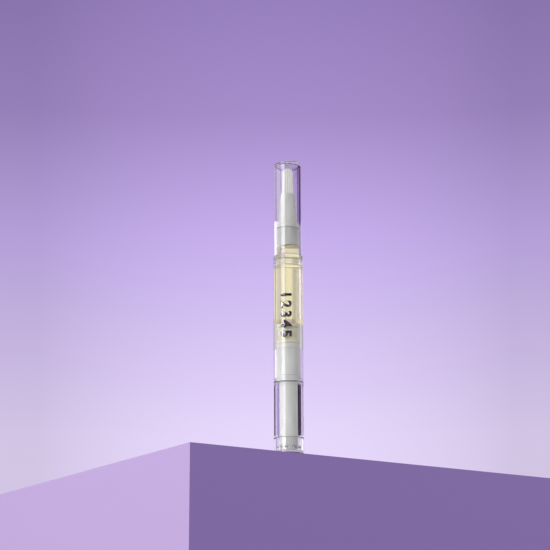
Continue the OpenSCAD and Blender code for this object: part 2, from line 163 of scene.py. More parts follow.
world = bpy.data.worlds.new("backdrop")
scene.world = world
world.use_nodes = True
tree = world.node_tree
tree.nodes.clear()
direction = tree.nodes.new("ShaderNodeTexCoord")
split = tree.nodes.new("ShaderNodeSeparateXYZ")
tree.links.new(direction.outputs["Object"], split.inputs[0])
lilac = fade(tree, between(tree, split.outputs["Z"], 0, 1, *FADE_HEIGHTS), [
    (0.0, (0.76, 0.68, 0.90)), (0.24, (0.835, 0.74, 0.985)), (0.44, (0.80, 0.69, 0.97)),
    (0.64, (0.57, 0.43, 0.85)), (0.76, (0.38, 0.27, 0.60)), (1.0, (0.23, 0.15, 0.42))], "LINEAR")
path = tree.nodes.new("ShaderNodeLightPath").outputs
aside = worked(tree, "MULTIPLY", split.outputs["X"], split.outputs["X"])
sides = between(tree, aside, 1, SIDE_DIM, 0, SIDE_REACH)
ahead = between(tree, split.outputs["Y"], STUDIO_DIM, 1, -0.3, 0.2)
matt = worked(tree, "SUBTRACT", 1, path["Is Glossy Ray"])
shown = tree.nodes.new("ShaderNodeBackground")
tree.links.new(lilac, shown.inputs["Color"])
dimmed = worked(tree, "MULTIPLY", sides, worked(tree, "MAXIMUM", ahead, matt))
tree.links.new(dimmed, shown.inputs["Strength"])
plain = tree.nodes.new("ShaderNodeBackground")
plain.inputs["Color"].default_value = (1, 1, 1, 1)
plain.inputs["Strength"].default_value = PLAIN_LIGHT
either = worked(tree, "MAXIMUM", path["Is Camera Ray"], path["Is Glossy Ray"])
any_of = worked(tree, "MAXIMUM", either, path["Is Transmission Ray"])
choose = tree.nodes.new("ShaderNodeMixShader")
tree.links.new(worked(tree, "GREATER_THAN", any_of, path["Diffuse Depth"]), choose.inputs["Fac"])
tree.links.new(plain.outputs[0], choose.inputs[1])
tree.links.new(shown.outputs[0], choose.inputs[2])
out = tree.nodes.new("ShaderNodeOutputWorld")
tree.links.new(choose.outputs[0], out.inputs["Surface"])


# Lights: a softbox in front on the left, a weaker one beside the pen for the left rims, one behind on the
# right and a fill in front on the right. The last two don't show in gloss or through the plastic.
LAMP_AIM = np.array([0, 0, 0.07])


def softbox(name, place, width, length, watts):
    """Area lamp that looks from its place at the middle of the pen."""
    lamp = bpy.data.lights.new(name, "AREA")
    lamp.shape = "RECTANGLE"
    lamp.size = width
    lamp.size_y = length
    lamp.energy = watts
    box = bpy.data.objects.new(name, lamp)
    box.location = place
    away = np.array(place) - LAMP_AIM
    tilt = math.acos(away[2] / np.linalg.norm(away))
    box.rotation_euler = (tilt, 0, math.atan2(away[1], away[0]) + math.pi / 2)
    box.visible_camera = False
    scene.collection.objects.link(box)
    return box


softbox("key_softbox", (-0.70, -0.72, 0.33), 0.56, 0.46, 3.05)
softbox("side_softbox", (-1.0, -0.05, 0.36), 0.9, 0.6, 1.4)
back = softbox("back_softbox", (0.75, 0.8, 0.45), 0.9, 0.7, 3.0)
fill = softbox("fill_softbox", (0.95, -0.45, 0.3), 0.7, 0.7, 1.9)
for lamp in (back, fill):
    lamp.visible_glossy = False
    lamp.visible_transmission = False


# Cards: dark and purple ones draw the edges of the clear plastic, and pale ones stand behind the oil and
# light the far rims. They stand on a big circle behind the pen, and only show in gloss and through the
# plastic.
CARD_REACH = 3.0
CARD_STEPS = 48
BLACK = (0.01, 0.006, 0.015)
PLUM = (0.06, 0.03, 0.11)
MAUVE = (0.34, 0.29, 0.42)
PURPLE = (0.36, 0.24, 0.56)
LILAC = (0.62, 0.54, 0.74)
WHITE = (1.15, 1.15, 1.2)
WARM_WHITE = (1.12, 1.1, 1.08)
COOL_WHITE = (1.08, 1.06, 2.3)


def card(name, elevations, *stops):
    """Part of a big round screen between two elevations, in degrees. At azimuth a from straight behind the
    pen it stands at (R sin a, R cos a). Its heights are the camera's plus the distance times the tangent
    of each elevation. A stop gives an azimuth and its shade, which blends into the next."""
    azimuths, shades = zip(*stops)
    across = np.linspace(azimuths[0], azimuths[-1], CARD_STEPS)
    tones = np.stack([np.interp(across, azimuths, tone) for tone in zip(*shades)] + [0 * across + 1], -1)
    low, high = camera.location.z + (CARD_REACH - camera.location.y) * np.tan(np.radians(elevations))
    x, y = CARD_REACH * np.sin(np.radians(across)), CARD_REACH * np.cos(np.radians(across))
    points = np.concatenate([np.stack([x, y, 0 * x + low], -1), np.stack([x, y, 0 * x + high], -1)])
    i = np.arange(CARD_STEPS - 1)
    faces = np.stack([i, i + 1, i + 1 + CARD_STEPS, i + CARD_STEPS], -1)
    screen_mesh = bpy.data.meshes.new(name)
    screen_mesh.from_pydata(points.tolist(), [], faces.tolist())
    shade = screen_mesh.attributes.new("shade", "FLOAT_COLOR", "POINT")
    shade.data.foreach_set("color", np.tile(tones, (2, 1)).ravel())
    paint, tree, coat = new_finish(name)
    coat.inputs["Base Color"].default_value = (0, 0, 0, 1)
    coat.inputs["Specular IOR Level"].default_value = 0
    coat.inputs["Emission Strength"].default_value = 1
    tone = tree.nodes.new("ShaderNodeAttribute")
    tone.attribute_name = "shade"
    tree.links.new(tone.outputs["Color"], coat.inputs["Emission Color"])
    look = tree.nodes.new("ShaderNodeLightPath")
    tree.links.new(worked(tree, "LESS_THAN", look.outputs["Diffuse Depth"], 0.5), coat.inputs["Alpha"])
    screen_mesh.materials.append(paint)
    screen = bpy.data.objects.new(name, screen_mesh)
    screen.visible_camera = False
    screen.visible_diffuse = False
    screen.visible_shadow = False
    scene.collection.objects.link(screen)


card("rim_card", (7.9, 9.45),
     (-75, WHITE), (-62, LILAC), (-54, PURPLE), (-44, PURPLE), (-36, LILAC), (-28, WHITE), (-20, WHITE))
card("right_rim_card", (7.9, 9.45), (20, WHITE), (45, WHITE))
card("black_card", (9.45, 11.3), (12, BLACK), (72, BLACK))
card("purple_card", (9.45, 11.4), (-70, PURPLE), (-27, PURPLE))
card("plum_card", (16.95, 23), (13, PLUM), (16.5, PLUM), (18, PURPLE), (27, PURPLE), (31, PLUM), (80, PLUM))
card("mauve_card", (15.8, 16.9), (22, MAUVE), (80, MAUVE))
card("lilac_card", (17.15, 23), (-60, PURPLE), (-38, PURPLE), (-35, LILAC), (-6, LILAC))
card("white_card", (15.8, 17.1), (-62, WHITE), (9, WHITE))
card("low_white_card", (11.5, 12.5), (-62, WHITE), (-34, WHITE))
card("oil_card", (13.6, 15.8),
     (-62, MAUVE), (-48, MAUVE), (-44, COOL_WHITE), (-37, COOL_WHITE), (-34, (0.44, 0.46, 0.62)),
     (-20, (0.44, 0.46, 0.58)), (-12, (0.66, 0.67, 0.80)), (-8, WARM_WHITE), (4, WARM_WHITE),
     (10, (0.70, 0.69, 0.74)), (18, (0.58, 0.58, 0.68)), (36, (0.58, 0.58, 0.72)), (38.5, WHITE), (41, WHITE),
     (43, MAUVE), (50, MAUVE), (51, WHITE), (60, WHITE))
card("piston_card", (12.5, 13.6),
     (-62, (0.78, 0.76, 0.70)), (-46, (0.62, 0.60, 0.53)), (-27, (0.66, 0.63, 0.58)), (-16, MAUVE),
     (-11, MAUVE), (-6, LILAC), (0, LILAC), (12, (0.50, 0.45, 0.52)), (22, MAUVE), (34, (0.50, 0.50, 0.50)),
     (60, (0.80, 0.80, 0.80)))


# Clear cap: a thin tube moulded in polished styrene, with a solid end that shows the mark of its gate. It
# pushes on over the brush and is held by the neck.
MM = 0.001
ROUND = np.linspace(0, 2 * math.pi, 128, endpoint=False)
CAP_R = 6
CAP_BORE_R = 5.14
CAP_END = 1
GATE_R = 0.9
GATE_FLARE = 0.08
GATE_DEEP = 0.25
MERGE_WITHIN = 0.0005


def heights(node):
    """Lowest and highest level of a CAD node, in millimetres."""
    low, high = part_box(node)
    return low[2] / MM, high[2] / MM


def rounded(corners, steps=5, lead=0.04):
    """Closed outline with round corners. A corner (r, z, radius) becomes an arc that touches both its sides
    at radius / tan h from it, where h is half its angle. A point before the arc and one after it keep the
    sides straight in smooth shading."""
    points = []
    for i, (r, z, radius) in enumerate(corners):
        here = np.array([r, z], float)
        if radius == 0:
            points.append(here)
            continue
        back = np.array(corners[i - 1][:2]) - here
        ahead = np.array(corners[(i + 1) % len(corners)][:2]) - here
        back = back / np.linalg.norm(back)
        ahead = ahead / np.linalg.norm(ahead)
        half = math.acos(np.clip(back @ ahead, -1, 1)) / 2
        touch = radius / math.tan(half)
        centre = here + (back + ahead) / np.linalg.norm(back + ahead) * radius / math.sin(half)
        start = here + back * touch - centre
        stop = here + ahead * touch - centre
        bend = math.pi - 2 * half
        t = np.linspace(0, 1, steps)[:, None]
        arc = centre + (np.sin((1 - t) * bend) * start + np.sin(t * bend) * stop) / math.sin(bend)
        points += [here + back * (touch + lead), *arc, here + ahead * (touch + lead)]
    return np.array(points)


def made(name, points, faces, sharp=35):
    """Object from points in metres, its doubles merged, its faces turned outwards and its hard edges kept."""
    mesh = bpy.data.meshes.new(name)
    mesh.from_pydata(points.tolist(), [], faces.tolist())
    work = bmesh.new()
    work.from_mesh(mesh)
    bmesh.ops.remove_doubles(work, verts=work.verts, dist=MERGE_WITHIN * MM)
    bmesh.ops.dissolve_degenerate(work, edges=work.edges, dist=MERGE_WITHIN * MM)
    bmesh.ops.recalc_face_normals(work, faces=work.faces)
    work.to_mesh(mesh)
    work.free()
    mesh.shade_smooth()
    mesh.set_sharp_from_angle(angle=math.radians(sharp))
    piece = bpy.data.objects.new(name, mesh)
    scene.collection.objects.link(piece)
    return piece


def turned(name, outline, angles=ROUND):
    """Surface of revolution: a point of the outline at radius r and height z goes to (r cos a, r sin a, z) at
    every angle a. The outline may change with the angle, as one row of points for each."""
    outline = np.broadcast_to(outline, (len(angles),) + np.shape(outline)[-2:])
    r, z = outline[..., 0], outline[..., 1]
    a = angles[:, None]
    points = np.stack([r * np.cos(a), r * np.sin(a), z + 0 * a], -1).reshape(-1, 3) * MM
    index = np.arange(r.size).reshape(r.shape)
    index = np.pad(index, ((0, 1), (0, 1)), mode="wrap")
    faces = np.stack([index[:-1, :-1], index[1:, :-1], index[1:, 1:], index[:-1, 1:]], -1).reshape(-1, 4)
    return made(name, points, faces)


def group_of(name, inputs, outputs):
    """Empty shader node group with plain number inputs, each with its value, and the given outputs."""
    group = bpy.data.node_groups.new(name, "ShaderNodeTree")
    for label, value in inputs.items():
        group.interface.new_socket(label, in_out="INPUT", socket_type="NodeSocketFloat").default_value = value
    for label in outputs:
        group.interface.new_socket(label, in_out="OUTPUT", socket_type="NodeSocketFloat")
    return group, group.nodes.new("NodeGroupInput").outputs, group.nodes.new("NodeGroupOutput").inputs


def noise(tree, vector, scale, detail=2.0):
    """Value of a noise that has about one blob in 1 / scale metres."""
    node = tree.nodes.new("ShaderNodeTexNoise")
    node.inputs["Scale"].default_value = scale
    node.inputs["Detail"].default_value = detail
    tree.links.new(vector, node.inputs["Vector"])
    return node.outputs["Fac"]


def stretched(tree, along):
    """Object coordinates whose heights are drawn out, so that a noise on them runs along the pen."""
    place = tree.nodes.new("ShaderNodeTexCoord")
    squeeze = tree.nodes.new("ShaderNodeMapping")
    squeeze.inputs["Scale"].default_value = (1, 1, along)
    tree.links.new(place.outputs["Object"], squeeze.inputs["Vector"])
    return squeeze.outputs["Vector"]


def effect(tree, group, **values):
    """Outputs of a shared effect, placed in a material with its own values."""
    node = tree.nodes.new("ShaderNodeGroup")
    node.node_tree = group
    for label, value in values.items():
        node.inputs[label].default_value = value
    return node.outputs


def grained(tree, shader, height, strength, depth):
    """Bumps a shader's surface by a height, whose full range is the depth in millimetres."""
    bump = tree.nodes.new("ShaderNodeBump")
    bump.inputs["Strength"].default_value = strength
    bump.inputs["Distance"].default_value = depth * MM
    tree.links.new(height, bump.inputs["Height"])
    tree.links.new(bump.outputs["Normal"], shader.inputs["Normal"])


# polished: faint handling scuffs along the pen and slow waves of the moulded wall
polish, polish_in, polish_out = group_of("polish", {"Dull": 0.03, "Scuffed": 0.12}, ("Roughness", "Height"))
scuffs = noise(polish, stretched(polish, 0.12), 2600, 3.0)
scuffed = between(polish, scuffs, polish_in["Dull"], polish_in["Scuffed"], 0.62, 0.8)
polish.links.new(scuffed, polish_out["Roughness"])
polish.links.new(noise(polish, stretched(polish, 0.35), 160, 1.0), polish_out["Height"])


def clear_plastic(name, tint, ior, dull, scuffed, waves):
    """Polished clear plastic: a see-through shader with scuffs in its gloss and waves in its surface."""
    finish, tree, shader = new_finish(name)
    shader.inputs["Base Color"].default_value = (*tint, 1)
    shader.inputs["Transmission Weight"].default_value = 1
    shader.inputs["IOR"].default_value = ior
    gloss = effect(tree, polish, Dull=dull, Scuffed=scuffed)
    tree.links.new(gloss["Roughness"], shader.inputs["Roughness"])
    grained(tree, shader, gloss["Height"], 1, waves)
    return finish


def fitted(piece, finish, body, slot, *nodes, shadow=True):
    """Finishes a piece: its material, the body that carries it and the CAD nodes that it stands for. The slot
    is not used. Clear pieces cast no shadow, because light passes through them."""
    piece.data.materials.append(finish)
    piece.visible_shadow = shadow
    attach(piece, body)
    if nodes:
        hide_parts(*nodes)


cap_foot, cap_top = heights("cap")
ceiling = cap_top - CAP_END
gate_floor = cap_top - GATE_DEEP
cap = turned("clear_cap", rounded([
    (0, ceiling, 0), (CAP_BORE_R, ceiling, 0.45), (CAP_BORE_R, cap_foot, 0.25), (CAP_R, cap_foot, 0.2),
    (CAP_R, cap_top, 0.25), (GATE_R + GATE_FLARE, cap_top, 0.06), (GATE_R, gate_floor, 0.06),
    (0, gate_floor, 0)]))
clear_styrene = clear_plastic("clear_styrene", (0.95, 0.945, 0.95), 1.53, 0.01, 0.06, 0.0012)
fitted(cap, clear_styrene, "cap", "clear_cap", "cap", shadow=False)


# Nylon brush: about nine hundred fine strands, cut to a dome and heat-fused into a root disc. The lip at
# the end of the brush holder keeps the disc in.
STRANDS = 900
STRAND_R = 0.062
STRAND_SIDES = 4
TUFT_R = 2.3
TUFT_DOME = 0.75
TUFT_UNEVEN = 0.3
TIP_SPARE = 0.05
LEAN_IN = 0.07
SWAY = 0.09
ROOTED = 0.2
ROOT_R = 2.62
ROOT_THICK = 1
GOLDEN_ANGLE = 2.399963
tuft_foot, tuft_top = heights("brush_bristles")
root_top = tuft_foot + ROOT_THICK
# strand i of n stands at the radius R sqrt((i + 1/2) / n) and at i times the golden angle, which spreads
# the strands evenly over the disc
strand = np.arange(STRANDS)
spread = TUFT_R * np.sqrt((strand + 0.5) / STRANDS)
turn = GOLDEN_ANGLE * strand
rise = np.linspace(0, 1, 9)
dome = TUFT_DOME * (spread / TUFT_R) ** 2
tips = tuft_top - TIP_SPARE - dome - TUFT_UNEVEN * (0.5 + 0.5 * np.sin(137 * strand))
# a strand leans in towards the tip, sways a little on its way up, and ends in a rounded tip
lean = 1 - LEAN_IN * rise ** 1.5
mid_x = np.outer(spread * np.cos(turn), lean) + SWAY * np.outer(np.sin(2.1 * strand), np.sin(2.5 * rise) ** 2)
mid_y = np.outer(spread * np.sin(turn), lean) + SWAY * np.outer(np.cos(3.7 * strand), rise ** 2)
mid_z = root_top - ROOTED + np.outer(tips - root_top + ROOTED, rise)
girth = STRAND_R * np.array([1, 1, 1, 1, 1, 1, 1, 0.92, 0.45])[:, None]
side = 2 * math.pi * np.arange(STRAND_SIDES) / STRAND_SIDES + strand[:, None, None]
ring_x = mid_x[..., None] + girth * np.cos(side)
ring_y = mid_y[..., None] + girth * np.sin(side)
ring_z = np.broadcast_to(mid_z[..., None], ring_x.shape)
strand_points = np.stack([ring_x, ring_y, ring_z], -1).reshape(-1, 3) * MM
index = np.arange(ring_x.size).reshape(ring_x.shape)
index = np.concatenate([index, index[..., :1]], -1)
walls = np.stack([index[:, :-1, :-1], index[:, :-1, 1:], index[:, 1:, 1:], index[:, 1:, :-1]], -1)
ends = np.concatenate([index[:, 0, 3::-1], index[:, -1, :4]])
tuft_strands = made("tuft_strands", strand_points, np.concatenate([walls.reshape(-1, 4), ends]), 60)
strand_shade = tuft_strands.data.attributes.new("strand_shade", "FLOAT", "POINT")
strand_shade.data.foreach_set("value", np.repeat(0.5 + 0.5 * np.sin(71.3 * strand), ring_x[0].size))


def nylon_finish():
    """Milky nylon whose strands differ a little in shade and in gloss."""
    finish, tree, shader = new_finish("nylon_strands")
    mark = tree.nodes.new("ShaderNodeAttribute")
    mark.attribute_name = "strand_shade"
    tone = fade(tree, mark.outputs["Fac"], [(0, (0.88, 0.89, 0.85)), (1, (0.96, 0.96, 0.94))])
    tree.links.new(tone, shader.inputs["Base Color"])
    tree.links.new(between(tree, mark.outputs["Fac"], 0.25, 0.4, 0, 1), shader.inputs["Roughness"])
    shader.inputs["Transmission Weight"].default_value = 0.1
    shader.inputs["IOR"].default_value = 1.53
    return finish


nylon = nylon_finish()
fitted(tuft_strands, nylon, "barrel", "nylon", "brush_bristles", shadow=False)
tuft_root = turned("tuft_root", rounded([
    (0, tuft_foot, 0), (ROOT_R, tuft_foot, 0.1), (ROOT_R, root_top, 0.15), (0, root_top, 0)]))
fitted(tuft_root, nylon, "barrel", "nylon")


# White brush holder: one satin moulding with a spigot that presses into the neck, a flange that lies on the
# neck's rim, and a long taper whose lip keeps the tuft's root in.
SPIGOT_R = 3.82
SPIGOT_LONG = 8.2
FLANGE_R = 5.05
FLANGE_THICK = 0.85
TAPER_FOOT_R = 4.05
TAPER_FOOT_RISE = 3.25
TAPER_TIP_R = 3.14
HOLDER_BORE_R = 2.65
LIP_R = 2.4

# satin moulding: a slow drift of tone from the melt's flow, and a fine grain from the steel of the mould
satin, satin_in, satin_out = group_of(
    "satin_moulding", {"Sheen": 0.3, "Uneven": 0.1}, ("Tone", "Roughness", "Height"))
flow = noise(satin, stretched(satin, 0.25), 420, 3.0)
satin.links.new(flow, satin_out["Tone"])
dullest = worked(satin, "ADD", satin_in["Sheen"], satin_in["Uneven"])
satin.links.new(between(satin, flow, satin_in["Sheen"], dullest), satin_out["Roughness"])
satin.links.new(noise(satin, stretched(satin, 1.0), 9000, 2.0), satin_out["Height"])


def moulded(name, dark, light, sheen, uneven, grain, through=0.0):
    """Satin moulded plastic between two tones, which lets the given share of the light through."""
    finish, tree, shader = new_finish(name)
    look = effect(tree, satin, Sheen=sheen, Uneven=uneven)
    tree.links.new(fade(tree, look["Tone"], [(0.3, dark), (0.7, light)]), shader.inputs["Base Color"])
    tree.links.new(look["Roughness"], shader.inputs["Roughness"])
    grained(tree, shader, look["Height"], 0.6, grain)
    shader.inputs["IOR"].default_value = 1.5
    shader.inputs["Transmission Weight"].default_value = through
    return finish


satin_white = moulded("satin_white", (0.78, 0.79, 0.76), (0.86, 0.87, 0.84), 0.28, 0.08, 0.004)
spigot_foot, holder_top = heights("brush_holder")
flange_foot = spigot_foot + SPIGOT_LONG
holder = turned("holder", rounded([
    (HOLDER_BORE_R, spigot_foot, 0.1), (SPIGOT_R, spigot_foot, 0.25), (SPIGOT_R, flange_foot, 0.06),
    (FLANGE_R, flange_foot, 0.15), (FLANGE_R, flange_foot + FLANGE_THICK, 0.25),
    (TAPER_FOOT_R, flange_foot + TAPER_FOOT_RISE, 0.5), (TAPER_TIP_R, holder_top, 0.25),
    (LIP_R, holder_top, 0.1), (LIP_R, root_top, 0.04), (HOLDER_BORE_R, root_top, 0.04)]))
fitted(holder, satin_white, "barrel", "white_plastic", "brush_holder")


# Feed tube: a plain tube moulded in natural plastic and pressed into the holder. It brings the oil to the
# tuft and backs the tuft's root.
def dressed(node, finish):
    """Gives a CAD node's own solid a new material."""
    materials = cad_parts[node].data.materials
    materials.clear()
    materials.append(finish)


natural = moulded("natural_plastic", (0.90, 0.91, 0.90), (0.95, 0.96, 0.95), 0.2, 0.1, 0.003, 0.08)
dressed("feed_tube", natural)


# Neck plug: a clear moulding whose ribbed spigot snaps into the barrel's mouth. Its neck has two low bands
# that carry the cap, and its bore holds the last of the oil.
NECK_R = 5.05
NECK_BORE_R = 3.8
BAND_R = 5.095
BAND_HALF = 0.4
BAND_FLARE = 0.05
PLUG_R = 5.37
SHOULDER_RISE = 4.6
SHOULDER_STEP = 0.1
RIBS = 3
RIB_R = 5.47
RIB_WIDE = 0.4
RIB_STEP = 1.0875
RIB_SEAT = 0.05
LEVEL_DROP = 0.25
NEAR = 0.05


def bead(wall, crest, start, stop, wall_edge=0.03, crest_edge=0.05, flare=0):
    """Corners of a rib or groove, where a wall's radius changes to the crest's between two heights. With a
    flare its sides slope."""
    return [(wall, start, wall_edge), (crest, start + flare, crest_edge),
            (crest, stop - flare, crest_edge), (wall, stop, wall_edge)]


def contact(piece, finish, low, high, inner, outer):
    """Gives a finish of their own to the faces whose middle lies between two heights and two radii."""
    piece.data.materials.append(finish)
    faces = piece.data.polygons
    middles = np.empty(3 * len(faces), "f")
    faces.foreach_get("center", middles)
    x, y, z = middles.reshape(-1, 3).T / MM
    r = np.hypot(x, y)
    slots = np.empty(len(faces), "i")
    faces.foreach_get("material_index", slots)
    slots[(low < z) & (z < high) & (inner < r) & (r < outer)] = len(piece.data.materials) - 1
    faces.foreach_set("material_index", slots)


clear_body = clear_plastic("clear_body", (0.985, 0.985, 0.99), 1.5, 0.01, 0.06, 0.001)
plug_foot, neck_top = heights("neck_plug")
neck_oil_top = heights("oil_neck")[1]
shoulder = plug_foot + SHOULDER_RISE
oil_level = neck_oil_top - LEVEL_DROP
ribs = [plug_foot + RIB_SEAT + RIB_STEP * (i + 1) for i in range(RIBS)]
plug_outline = [(NECK_BORE_R, plug_foot, 0.05), (PLUG_R, plug_foot, 0.05)]
for rib in ribs:
    plug_outline += bead(PLUG_R, RIB_R, rib, rib + RIB_WIDE)
plug_outline += [(PLUG_R, shoulder - SHOULDER_STEP, 0.05), (NECK_R, shoulder - SHOULDER_STEP, 0.05)]
for share in (0.25, 0.75):
    band = shoulder + (neck_top - shoulder) * share
    plug_outline += bead(NECK_R, BAND_R, band - BAND_HALF, band + BAND_HALF, 0.05, 0.03, BAND_FLARE)
plug_outline += [(NECK_R, neck_top, 0.2), (NECK_BORE_R, neck_top, 0.2), (NECK_BORE_R, oil_level, 0)]
plug = turned("plug", rounded(plug_outline, 4, 0.01))
fitted(plug, clear_body, "barrel", "clear_plastic", "neck_plug", shadow=False)

# the plug's bore against the oil, and its spigot against the barrel, are no surfaces that light can see
joined, tree, shader = new_finish("contact")
shader.inputs["Alpha"].default_value = 0
contact(plug, joined, plug_foot, oil_level, NECK_BORE_R - NEAR, NECK_BORE_R + NEAR)


# Barrel: a straight tube moulded in clear plastic, with its edges rounded. Grooves in its bore take the
# plug's ribs and the retaining ring's bead.
BARREL_R = 6.5
BARREL_BORE_R = 5.35
GROOVE_R = 5.5
GROOVE_PLAY = 0.03
RING_BEAD_RISE = 1.15
RING_BEAD_WIDE = 0.6
CONTACT_SPARE = 0.15
HAIR = 0.01
barrel_foot, barrel_top = heights("barrel")
ring_bead = barrel_foot + RING_BEAD_RISE
contact_foot = plug_foot + 2 * NEAR
barrel_outline = [
    (BARREL_BORE_R, barrel_foot, 0.1), (BARREL_R, barrel_foot, 0.12), (BARREL_R, barrel_top, 0.25),
    (BARREL_BORE_R, barrel_top, 0.1)]
for rib in reversed(ribs):
    barrel_outline += bead(BARREL_BORE_R, GROOVE_R, rib + RIB_WIDE + GROOVE_PLAY, rib - GROOVE_PLAY)
barrel_outline.append((BARREL_BORE_R, contact_foot, 0))
ring_groove_top = ring_bead + RING_BEAD_WIDE + GROOVE_PLAY
barrel_outline += bead(BARREL_BORE_R, GROOVE_R, ring_groove_top, ring_bead - GROOVE_PLAY)
barrel = turned("barrel_tube", rounded(barrel_outline, 4, 0.01))
fitted(barrel, clear_body, "barrel", "clear_plastic", "barrel", shadow=False)
contact(plug, joined, contact_foot, shoulder - CONTACT_SPARE, BARREL_BORE_R - NEAR, BARREL_BORE_R + NEAR)
contact(barrel, joined, contact_foot, barrel_top - CONTACT_SPARE, BARREL_BORE_R - NEAR, BARREL_BORE_R + HAIR)


# Nail oil: a clear, pale yellow oil that wets the barrel's and the neck's walls. Its top in the neck is a
# wavy meniscus, and in the barrel the rising piston squeezes it out.
WET = 0.02
OIL_FOOT_R = 5.3
OIL_CHAMFER = 0.07
NECK_OIL_CHAMFER = 0.05
MENISCUS_WAVE = 0.2
CURL_R = 3.4
CURL_DROP = 0.25
CALM_R = 2.6
CALM_DROP = 0.5


def oil_finish(name, dark, light, ior):
    """Clear oil with a pale yellow tint that drifts a little from place to place."""
    finish, tree, shader = new_finish(name)
    cloud = noise(tree, stretched(tree, 0.5), 90, 1.0)
    tree.links.new(fade(tree, cloud, [(0.3, dark), (0.7, light)]), shader.inputs["Base Color"])
    shader.inputs["Transmission Weight"].default_value = 0.86
    shader.inputs["Roughness"].default_value = 0
    shader.inputs["IOR"].default_value = ior
    return finish


oil = oil_finish("nail_oil", (0.94, 0.86, 0.54), (0.96, 0.88, 0.57), 1.46)
oil_on_plastic = oil_finish("nail_oil_on_plastic", (0.95, 0.90, 0.62), (0.97, 0.92, 0.65), 1.0)
oil_foot = heights("oil_column")[0]
oil_top = plug_foot + WET
barrel_wet = BARREL_BORE_R + WET
neck_wet = NECK_BORE_R + WET
column = turned("oil_in_barrel", [
    (0, oil_foot), (OIL_FOOT_R, oil_foot), (barrel_wet, oil_foot + OIL_CHAMFER), (barrel_wet, oil_top),
    (NECK_BORE_R, oil_top), (0, oil_top)])
fitted(column, oil, "barrel", "nail_oil", "oil_column", shadow=False)
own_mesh(column)
contact(column, joined, oil_top - HAIR, oil_top + HAIR, -1, NECK_BORE_R)
neck_oil_foot = oil_top + HAIR
neck_oil_side = oil_top + 3 * HAIR
level = oil_level + MENISCUS_WAVE * np.cos(2 * ROUND + 0.6)
calm = np.full_like(level, neck_oil_top - CALM_DROP)
neck_rows = [np.stack([np.full_like(level, r), z + 0 * level], -1) for r, z in (
    (0, neck_oil_foot), (NECK_BORE_R, neck_oil_foot), (neck_wet, neck_oil_foot + NECK_OIL_CHAMFER),
    (neck_wet, level), (CURL_R, level - CURL_DROP), (CALM_R, calm), (0, calm))]
neck_oil = turned("oil_in_neck", np.stack(neck_rows, 1))
fitted(neck_oil, oil, "barrel", "nail_oil", "oil_neck", shadow=False)
contact(neck_oil, joined, oil_top, neck_oil_side, -1, NECK_BORE_R)
contact(neck_oil, oil_on_plastic, neck_oil_side, neck_oil_top, NECK_BORE_R - WET, NECK_R)


# Piston: a milky moulding, tinted by the oil, with a sealing lip at each end. The rod's head snaps into the
# socket in its foot.
PISTON_R = 4.7
PISTON_LIP_R = 5.3
LIP_LAND = 1.2
LIP_TAPER = 1.8
SOCKET_R = 2.08
SOCKET_DEEP = 5.2
SNAP_R = 2.38
SNAP_FOOT = 2.55
SNAP_TOP = 3.2
steeped = moulded("natural_plastic_in_oil", (0.97, 0.93, 0.67), (0.98, 0.95, 0.73), 0.16, 0.08, 0.003, 0.1)
piston_foot, piston_top = heights("piston")
piston = turned("piston_cup", rounded([
    (0, piston_foot + SOCKET_DEEP, 0), (SOCKET_R, piston_foot + SOCKET_DEEP, 0.1),
    *bead(SOCKET_R, SNAP_R, piston_foot + SNAP_TOP, piston_foot + SNAP_FOOT, 0.05, 0.05),
    (SOCKET_R, piston_foot, 0.15), (PISTON_LIP_R, piston_foot, 0.25),
    (PISTON_LIP_R, piston_foot + LIP_LAND, 0.1), (PISTON_R, piston_foot + LIP_TAPER, 0.3),
    (PISTON_R, piston_top - LIP_TAPER, 0.3), (PISTON_LIP_R, piston_top - LIP_LAND, 0.1),
    (PISTON_LIP_R, piston_top, 0.1), (0, piston_top, 0)]))
fitted(piston, steeped, "plunger", "natural_plastic", "piston")


# Drive: the rod, the nut, the ratchet ring and the click ring are plain acetal mouldings inside the bush.
# The nut turns with the knob and screws the rod up.
acetal = moulded("acetal", (0.76, 0.76, 0.73), (0.86, 0.86, 0.84), 0.32, 0.1, 0.004)
for node in ("screw_rod", "drive_nut", "ratchet_ring", "click_ring"):
    dressed(node, acetal)


# Guide bush: a white moulded sleeve fixed in the barrel. The keyed hole in its head keeps the rod from
# turning, and the ratchet ring sits in its bore.
BUSH_R = 5.32
BUSH_BORE_R = 4.22
MOUTH_R = 4.47
MOUTH_DEEP = 1.68
HEAD_RISE = 11.6
HEAD_LAP = 0.9
RELIEF_R = 5.07
RELIEF_WIDE = 0.25
KEY_R = 2.08
KEY_FLAT = 1.53
bush_foot, bush_top = heights("guide_bush")
head = bush_foot + HEAD_RISE
key_floor = head - HEAD_LAP
mouth_top = bush_foot + MOUTH_DEEP
bush_outline = rounded([
    (BUSH_R, bush_foot, 0.15), *bead(BUSH_R, RELIEF_R, head, head + RELIEF_WIDE, 0.04, 0.03),
    (BUSH_R, bush_top, 0.25), (KEY_R, bush_top, 0.1), (KEY_R, key_floor, 0.1), (BUSH_BORE_R, key_floor, 0.15),
    (BUSH_BORE_R, mouth_top, 0.05), (MOUTH_R, mouth_top, 0.05), (MOUTH_R, bush_foot, 0.1)])
# the hole is a circle cut off by two flats: its radius is the lesser of the circle's and flat / |sin a|
key = np.minimum(KEY_R, KEY_FLAT / np.maximum(np.abs(np.sin(ROUND)), 1e-6))
in_hole = bush_outline[:, 0] < (KEY_R + BUSH_BORE_R) / 2
bush_rows = np.repeat(bush_outline[None], len(ROUND), 0)
bush_rows[:, in_hole, 0] += (key - KEY_R)[:, None]
bush = turned("bush", bush_rows)
fitted(bush, satin_white, "barrel", "white_plastic", "guide_bush")


